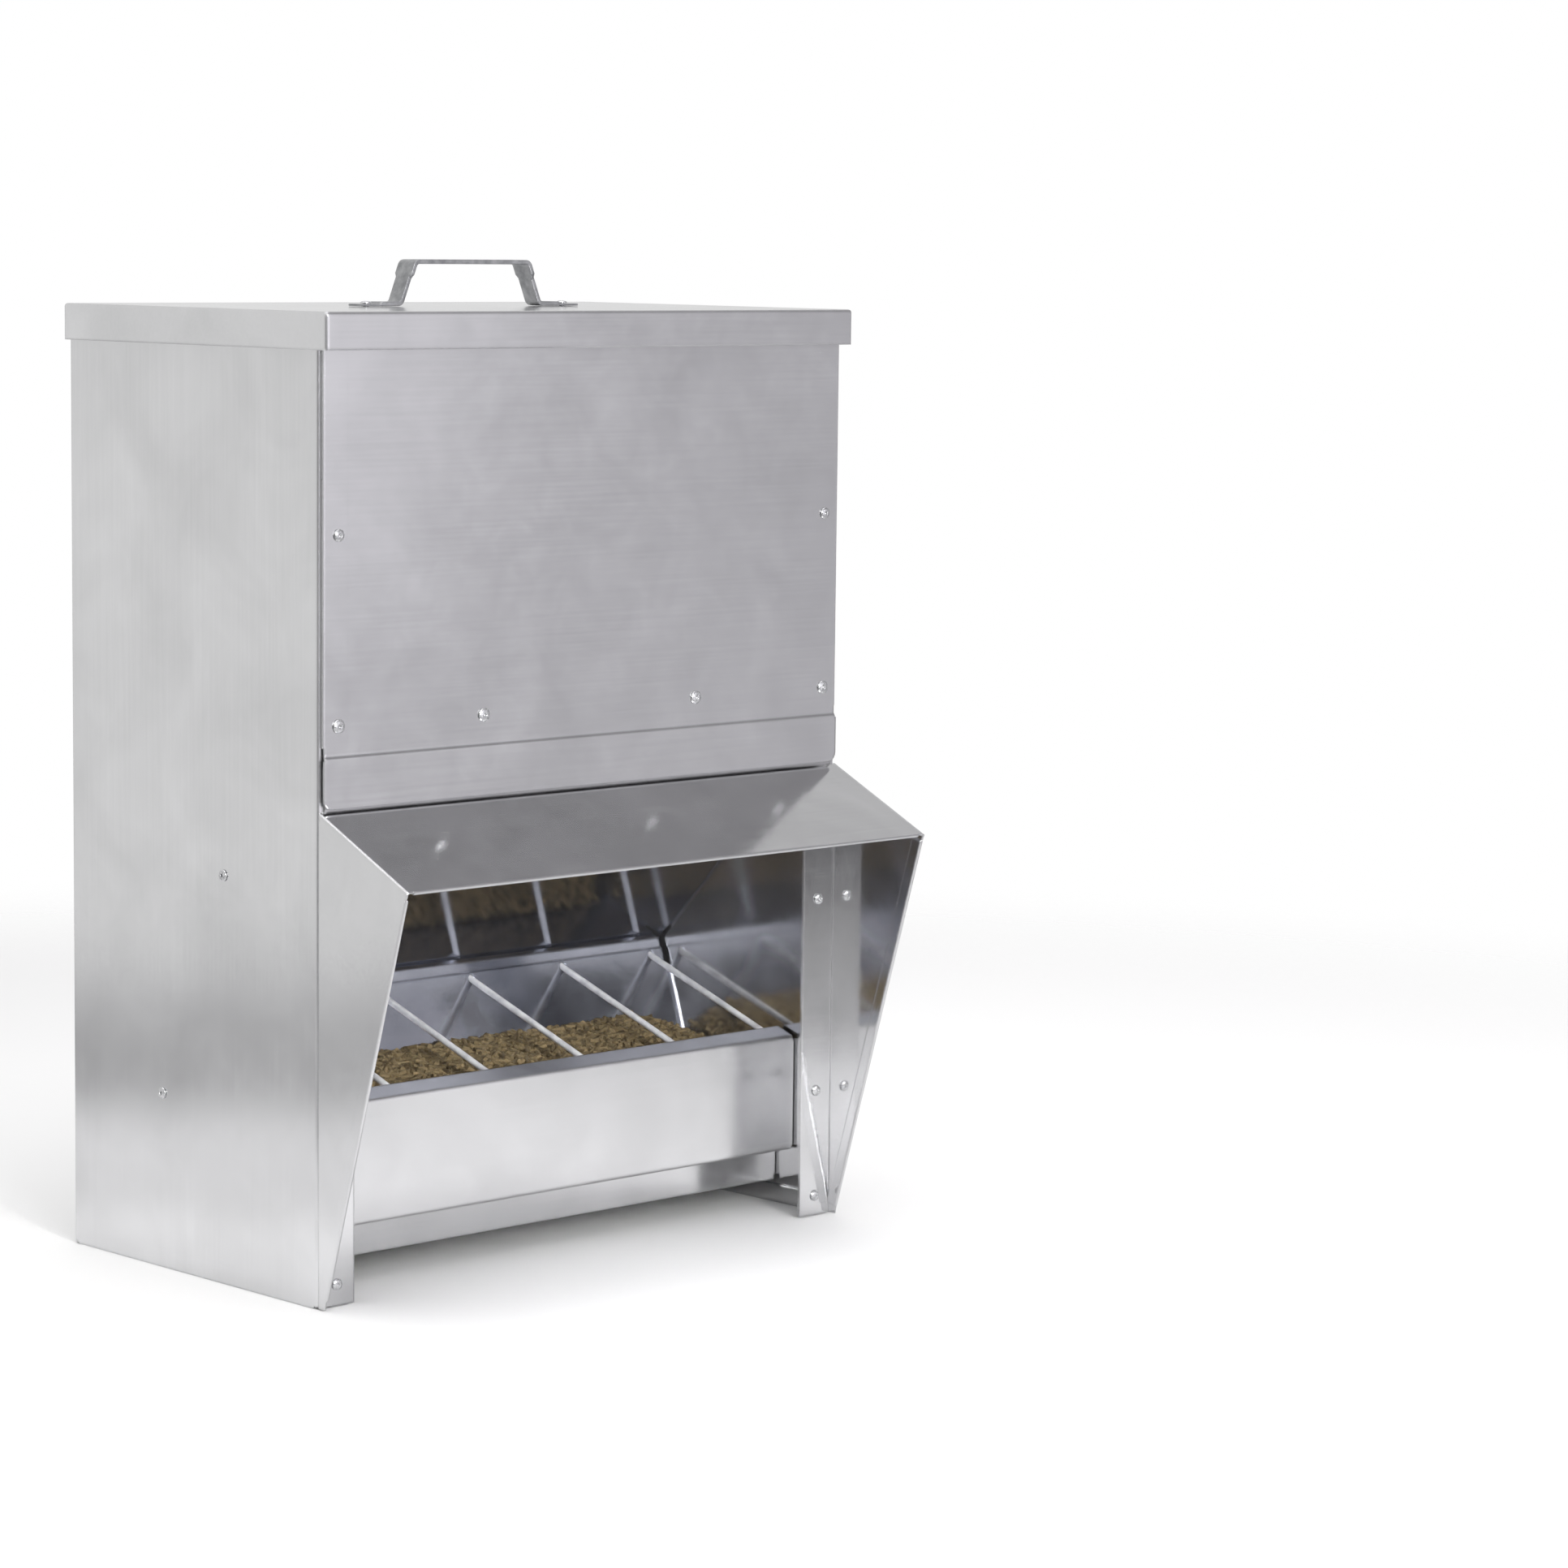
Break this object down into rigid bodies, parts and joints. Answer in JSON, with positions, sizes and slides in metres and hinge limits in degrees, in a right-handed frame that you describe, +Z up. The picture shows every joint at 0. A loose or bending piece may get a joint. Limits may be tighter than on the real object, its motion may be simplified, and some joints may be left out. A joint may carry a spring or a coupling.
{
  "type": "trough feeder",
  "caption": "Galvanised sheet-steel poultry feeder: lidded hopper, rod-guarded trough and rain hood.",
  "frame": {"origin": "middle of the whole feeder's footprint, on the ground", "axes": "+Z up, -Y towards the birds (the trough side), +X to the right as seen from the trough side"},
  "size_m": [0.4206, 0.3274, 0.6086],
  "materials": {
    "zinc_sheet": "bright galvanised sheet, inner faces almost mirror-like",
    "wire": "bright drawn wire",
    "strap": "dull zinc-plated strap",
    "rivet": "bright blind-rivet heads",
    "feed": "loose brown pellets"
  },
  "bodies": {
    "body": {"apron_rivet_left": "rivet", "apron_rivet_right": "rivet", "back_panel": "zinc_sheet", "back_rivet_left_1": "rivet", "back_rivet_left_2": "rivet", "back_rivet_left_3": "rivet", "back_rivet_right_1": "rivet", "back_rivet_right_2": "rivet", "back_rivet_right_3": "rivet", "base_rail": "zinc_sheet", "divider_rod_1": "wire", "divider_rod_2": "wire", "divider_rod_3": "wire", "divider_rod_4": "wire", "divider_rod_5": "wire", "divider_rod_6": "wire", "feed": "feed", "floor_rivet_inner_left": "rivet", "floor_rivet_inner_right": "rivet", "floor_rivet_left": "rivet", "floor_rivet_right": "rivet", "front_panel": "zinc_sheet", "hood": "zinc_sheet", "hood_rivet_left_1": "rivet", "hood_rivet_left_2": "rivet", "hood_rivet_left_3": "rivet", "hood_rivet_right_1": "rivet", "hood_rivet_right_2": "rivet", "hood_rivet_right_3": "rivet", "hopper_floor": "zinc_sheet", "left_side_panel": "zinc_sheet", "panel_rivet_inner_left": "rivet", "panel_rivet_inner_right": "rivet", "panel_rivet_left_high": "rivet", "panel_rivet_left_low": "rivet", "panel_rivet_right_high": "rivet", "panel_rivet_right_low": "rivet", "right_side_panel": "zinc_sheet", "throat_apron": "zinc_sheet", "throat_plate": "zinc_sheet", "throat_rivet_left": "rivet", "throat_rivet_right": "rivet", "trough": "zinc_sheet"},
    "lid": {"lid": "zinc_sheet", "lid_handle": "strap", "handle_rivet_left": "rivet", "handle_rivet_right": "rivet"}
  },
  "joints": [
    {"name": "lid_lift", "type": "slide", "parent": "body", "child": "lid", "axis": [0, 0, 1], "range_m": [0, 0.08]}
  ]
}
